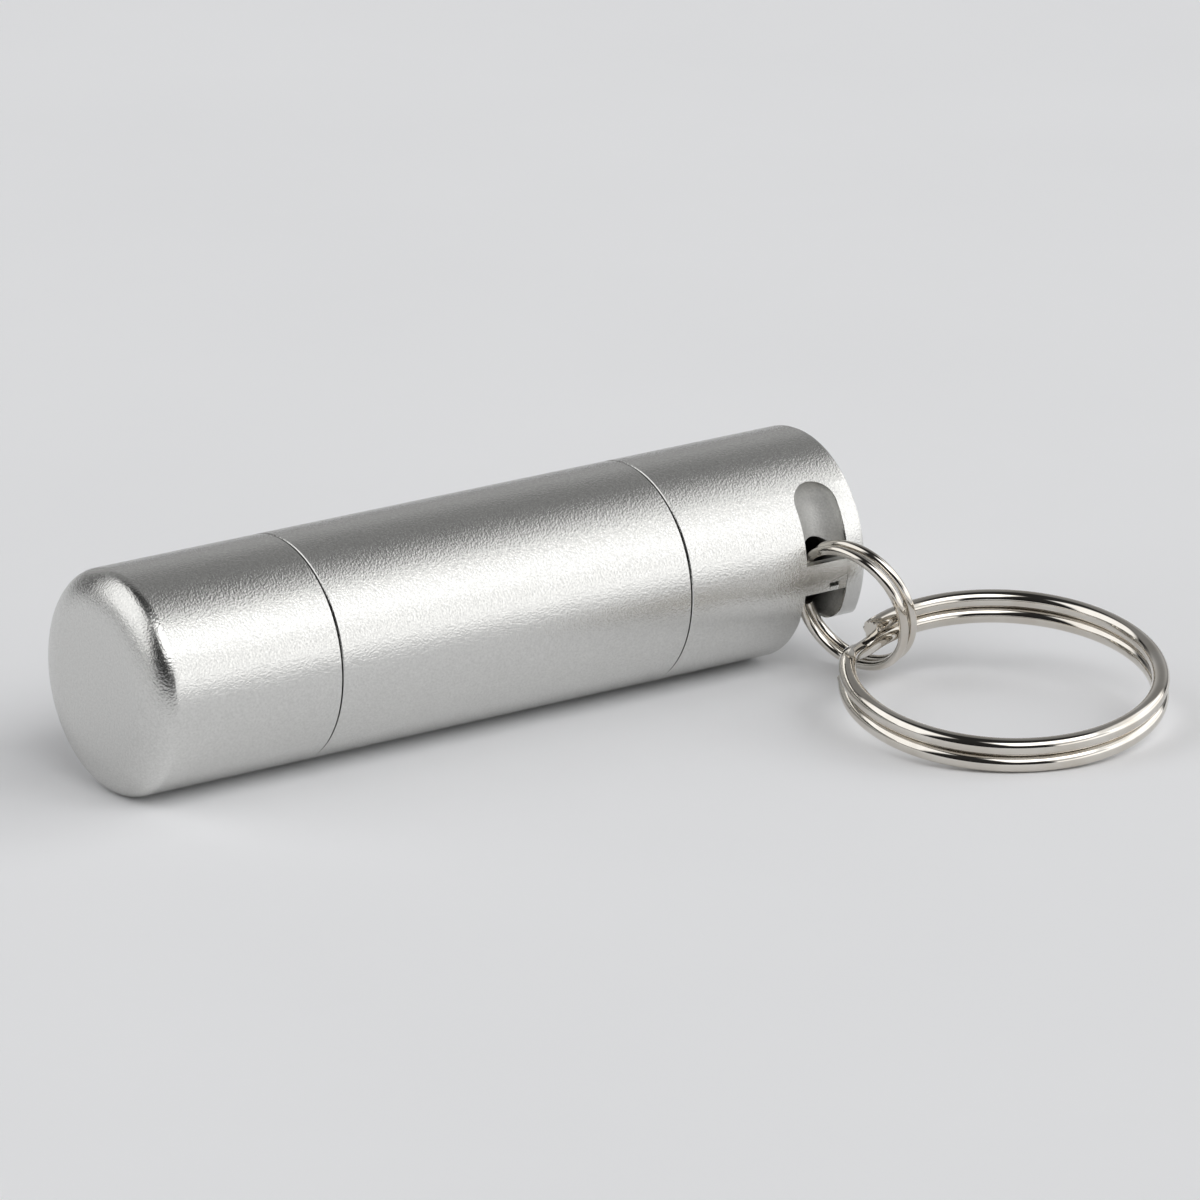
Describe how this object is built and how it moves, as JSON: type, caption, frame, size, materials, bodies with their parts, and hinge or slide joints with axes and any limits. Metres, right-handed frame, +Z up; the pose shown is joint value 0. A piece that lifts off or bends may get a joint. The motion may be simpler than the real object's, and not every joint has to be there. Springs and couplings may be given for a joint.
{
  "type": "pill fob keychain",
  "caption": "Round aluminium pocket pill holder with a chamber behind a screw cap at the front and another behind a screwed tail that carries two split rings.",
  "frame": {"origin": "centre of the front cap's flat end face", "axes": "+X along the barrel from the cap to the tail, +Z up with the fob lying on its side, -Y towards the side with the ring slot"},
  "size_m": [0.0775, 0.046, 0.0172],
  "materials": {
    "satin_aluminium": "bead-blasted and clear anodised, satin",
    "seal_rubber": "smooth black rubber, lightly greased",
    "nickel_wire": "polished nickel plate"
  },
  "bodies": {
    "barrel": {"barrel": "satin_aluminium"},
    "front_seal": {"front_o_ring": "seal_rubber"},
    "front_cap": {"front_cap": "satin_aluminium"},
    "rear_seal": {"rear_o_ring": "seal_rubber"},
    "tail": {"tail": "satin_aluminium", "ring_bar": "satin_aluminium"},
    "link_ring": {"link_ring": "nickel_wire"},
    "key_ring": {"key_ring": "nickel_wire"}
  },
  "joints": [
    {"name": "front_cap_travel", "type": "slide", "parent": "barrel", "child": "front_seal", "axis": [-1, 0, 0], "range_m": [0, 0.00751]},
    {"name": "front_cap_turn", "type": "hinge", "parent": "front_seal", "child": "front_cap", "pos_m": [0.0161, 0, 0], "axis": [-1, 0, 0], "range_deg": [0, 2160]},
    {"name": "tail_travel", "type": "slide", "parent": "barrel", "child": "rear_seal", "axis": [1, 0, 0], "range_m": [0, 0.00751]},
    {"name": "tail_turn", "type": "hinge", "parent": "rear_seal", "child": "tail", "pos_m": [0.0478, 0, 0], "axis": [1, 0, 0], "range_deg": [0, 2160]},
    {"name": "link_ring_swing", "type": "hinge", "parent": "tail", "child": "link_ring", "pos_m": [0.0619, -0.00808, -0.0006], "axis": [1, 0, 0], "range_deg": [-40, 4]},
    {"name": "key_ring_swing", "type": "hinge", "parent": "link_ring", "child": "key_ring", "pos_m": [0.06337, -0.0131, -0.00317], "axis": [0.987, 0.1245, 0.1015], "range_deg": [-8, 85]}
  ],
  "couplings": [
    {"joint": "front_cap_travel", "follows": "front_cap_turn", "m_per_rad": 0.00019894},
    {"joint": "tail_travel", "follows": "tail_turn", "m_per_rad": 0.00019894}
  ]
}
